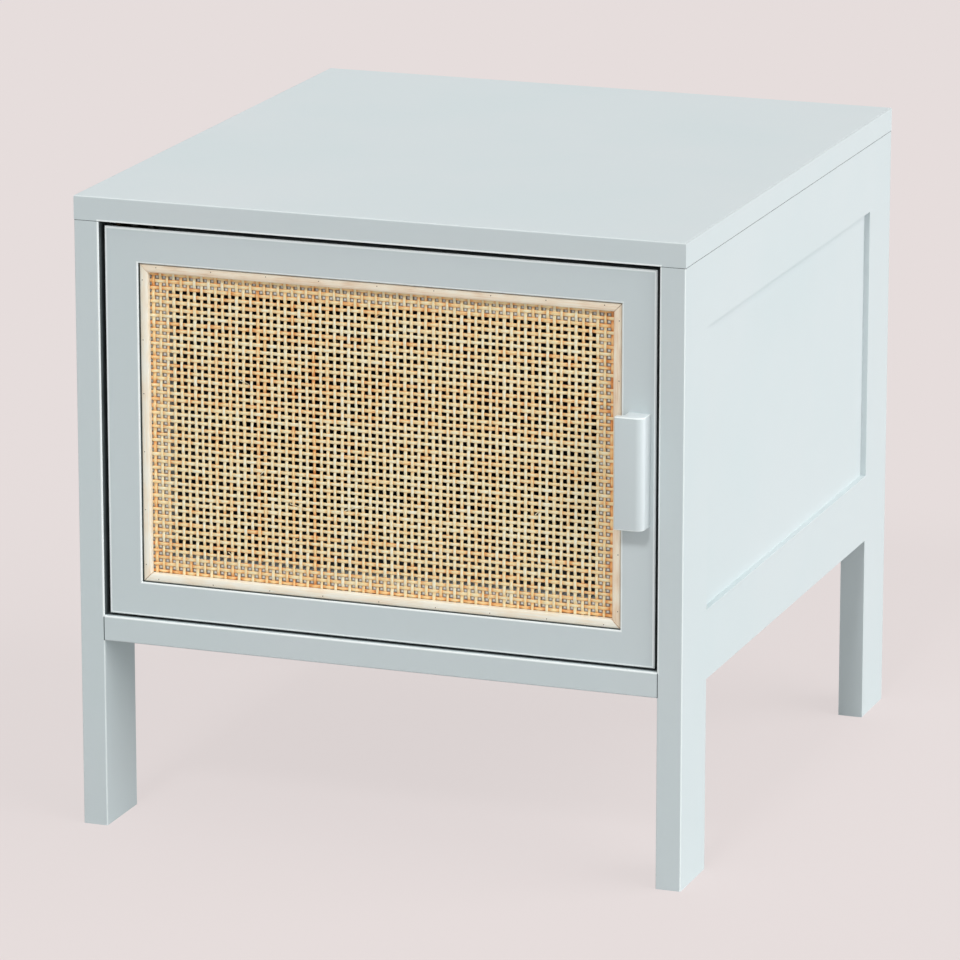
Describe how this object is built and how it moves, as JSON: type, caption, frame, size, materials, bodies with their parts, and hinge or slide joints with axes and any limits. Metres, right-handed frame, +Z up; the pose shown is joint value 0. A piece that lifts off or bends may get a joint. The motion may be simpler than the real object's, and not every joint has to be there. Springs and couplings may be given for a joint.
{
  "type": "cabinet side table",
  "caption": "Small square side table on legs with a closed cabinet: frame-and-panel sides and one inset door with a woven cane panel and a side pull.",
  "frame": {"origin": "on the floor, in the middle of the outline seen from above, with the door's pull counted in", "axes": "+X to the right as seen from the front, +Y from the door to the back, +Z up"},
  "size_m": [0.44, 0.4914, 0.45],
  "materials": {
    "paint": "satin pale blue-grey paint",
    "cane": "natural cane, satin",
    "bead_wood": "bare pale wood",
    "raw_wood": "bare beech",
    "zinc": "die-cast zinc",
    "screw_steel": "zinc plated",
    "hinge_brass": "satin brass",
    "nylon": "white nylon",
    "catch_plastic": "white moulded plastic",
    "magnet": "dark ferrite",
    "plate_steel": "zinc plated"
  },
  "bodies": {
    "cabinet": {"top_panel": "paint", "bottom_panel": "paint", "back_panel": "paint", "left_front_leg": "paint", "left_rear_leg": "paint", "left_upper_rail": "paint", "left_lower_rail": "paint", "left_side_panel": "paint", "right_front_leg": "paint", "right_rear_leg": "paint", "right_upper_rail": "paint", "right_lower_rail": "paint", "right_side_panel": "paint", "carcass_dowels": "raw_wood", "cam_locks": "zinc", "cam_bolts": "zinc", "back_screws": "screw_steel", "cabinet_leaf_screws": "screw_steel", "catch_screws": "screw_steel", "upper_hinge_cabinet_leaf": "hinge_brass", "lower_hinge_cabinet_leaf": "hinge_brass", "hinge_pins": "hinge_brass", "thrust_washer": "nylon", "catch_housing": "catch_plastic", "catch_magnet": "magnet"},
    "door": {"door_hinge_stile": "paint", "door_handle_stile": "paint", "door_top_rail": "paint", "door_bottom_rail": "paint", "cane_columns": "cane", "cane_rows": "cane", "bead_top": "bead_wood", "bead_bottom": "bead_wood", "bead_left": "bead_wood", "bead_right": "bead_wood", "handle": "paint", "handle_screws": "screw_steel", "upper_hinge_door_leaf": "hinge_brass", "lower_hinge_door_leaf": "hinge_brass", "door_leaf_screws": "screw_steel", "strike_plate": "plate_steel", "strike_screws": "screw_steel"}
  },
  "joints": [
    {"name": "door_swing", "type": "hinge", "parent": "cabinet", "child": "door", "pos_m": [-0.191, -0.22425, 0.292], "axis": [0, 0, -1], "range_deg": [0, 105]}
  ]
}
